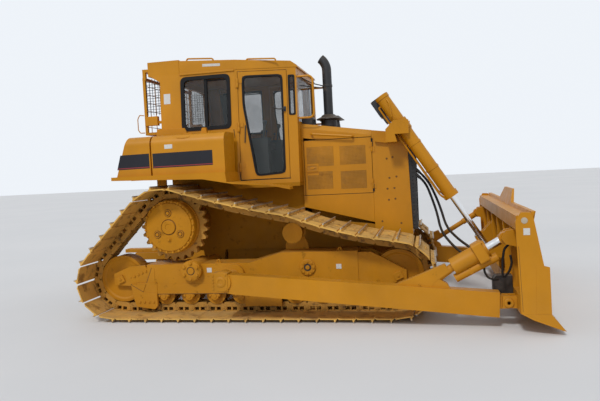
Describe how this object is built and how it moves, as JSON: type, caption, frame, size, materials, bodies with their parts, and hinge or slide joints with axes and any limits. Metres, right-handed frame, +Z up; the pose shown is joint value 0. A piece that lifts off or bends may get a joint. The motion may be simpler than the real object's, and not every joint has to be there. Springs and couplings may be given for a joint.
{
  "type": "bulldozer",
  "caption": "Crawler bulldozer with raised sprockets, wide tracks, a closed cab, and a straight blade on outside push arms lifted by two cylinders.",
  "frame": {"origin": "on the floor under the middle of the bulldozer's length and width", "axes": "+X points forward, from the drawbar to the blade, +Y to the left side, +Z up"},
  "size_m": [5.483, 4, 3.1592],
  "materials": {
    "body_yellow": "semi-gloss, dusty",
    "chrome": "polished",
    "dark_plastic": "grained",
    "frame_black": "satin black",
    "hose_rubber": "matte",
    "radiator_metal": "dull",
    "seat_cloth": "woven",
    "track_steel": "worn and earthy",
    "window_glass": "clear",
    "worn_steel": "worn bare"
  },
  "bodies": {
    "tractor": {"belly_guard": "body_yellow", "cab_controls": "dark_plastic", "cab_floor": "frame_black", "cab_front_wall": "body_yellow", "cab_glass": "window_glass", "cab_rear_wall": "body_yellow", "cab_roof": "body_yellow", "cab_sides": "body_yellow", "drawbar": "body_yellow", "engine_block": "body_yellow", "equalizer_bar": "body_yellow", "exhaust_stack": "frame_black", "fenders": "body_yellow", "final_drives": "body_yellow", "fuel_tank": "body_yellow", "handrails": "frame_black", "hood": "body_yellow", "hydraulic_tank": "body_yellow", "idlers_and_rollers": "track_steel", "intake_covers": "frame_black", "lift_supports": "body_yellow", "main_frame": "body_yellow", "pivot_shaft": "body_yellow", "radiator_core": "radiator_metal", "radiator_grille": "frame_black", "radiator_guard": "body_yellow", "rear_case": "body_yellow", "rear_screen": "frame_black", "rops_frame": "body_yellow", "seat_base": "dark_plastic", "seat_cushions": "seat_cloth", "sprockets": "worn_steel", "tilt_hose_a_tractor": "hose_rubber", "tilt_hose_b_tractor": "hose_rubber", "track_frames": "body_yellow", "track_left": "track_steel", "track_right": "track_steel"},
    "blade_frame": {"push_arms": "body_yellow", "blade": "body_yellow", "cutting_edge": "worn_steel", "tilt_cylinder": "body_yellow", "tilt_brace": "body_yellow", "tilt_hose_a_blade": "hose_rubber", "tilt_hose_b_blade": "hose_rubber", "valve_block": "frame_black"},
    "lift_barrel_right_body": {"lift_barrel_right": "body_yellow"},
    "lift_barrel_left_body": {"lift_barrel_left": "body_yellow"},
    "lift_rod_right_body": {"lift_rod_right": "chrome"},
    "lift_rod_left_body": {"lift_rod_left": "chrome"},
    "cab_door_right_body": {"cab_door_right": "body_yellow", "door_glass_right": "window_glass"},
    "cab_door_left_body": {"cab_door_left": "body_yellow", "door_glass_left": "window_glass"},
    "engine_door_right_body": {"engine_door_right": "body_yellow"},
    "engine_door_left_body": {"engine_door_left": "body_yellow"}
  },
  "joints": [
    {"name": "blade_lift", "type": "hinge", "parent": "tractor", "child": "blade_frame", "pos_m": [-0.7315, 0, 0.511], "axis": [0, -1, 0], "range_deg": [-8.5, 15.5]},
    {"name": "lift_barrel_right_swing", "type": "hinge", "parent": "tractor", "child": "lift_barrel_right_body", "pos_m": [1.2495, -0.65, 2.155], "axis": [0, -1, 0], "range_deg": [-7.6, 13.8]},
    {"name": "lift_rod_right_slide", "type": "slide", "parent": "lift_barrel_right_body", "child": "lift_rod_right_body", "axis": [0.5346, 0, -0.8451], "range_m": [-0.69, 0.38]},
    {"name": "lift_barrel_left_swing", "type": "hinge", "parent": "tractor", "child": "lift_barrel_left_body", "pos_m": [1.2495, 0.65, 2.155], "axis": [0, -1, 0], "range_deg": [-7.6, 13.8]},
    {"name": "lift_rod_left_slide", "type": "slide", "parent": "lift_barrel_left_body", "child": "lift_rod_left_body", "axis": [0.5346, 0, -0.8451], "range_m": [-0.69, 0.38]},
    {"name": "cab_door_right_hinge", "type": "hinge", "parent": "tractor", "child": "cab_door_right_body", "pos_m": [-0.7085, -0.88484, 1.6], "axis": [0, -0.0549, -0.9985], "range_deg": [0, 90]},
    {"name": "engine_door_right_hinge", "type": "hinge", "parent": "tractor", "child": "engine_door_right_body", "pos_m": [0.8655, -0.512, 1.4], "axis": [0, 0, 1], "range_deg": [0, 95]},
    {"name": "cab_door_left_hinge", "type": "hinge", "parent": "tractor", "child": "cab_door_left_body", "pos_m": [-0.7085, 0.88484, 1.6], "axis": [0, -0.0549, 0.9985], "range_deg": [0, 90]},
    {"name": "engine_door_left_hinge", "type": "hinge", "parent": "tractor", "child": "engine_door_left_body", "pos_m": [0.8655, 0.512, 1.4], "axis": [0, 0, -1], "range_deg": [0, 95]}
  ],
  "couplings": [
    {"joint": "lift_barrel_right_swing", "follows": "blade_lift", "ratio": 0.88},
    {"joint": "lift_rod_right_slide", "follows": "blade_lift", "m_per_rad": -2.54},
    {"joint": "lift_barrel_left_swing", "follows": "blade_lift", "ratio": 0.88},
    {"joint": "lift_rod_left_slide", "follows": "blade_lift", "m_per_rad": -2.54}
  ]
}
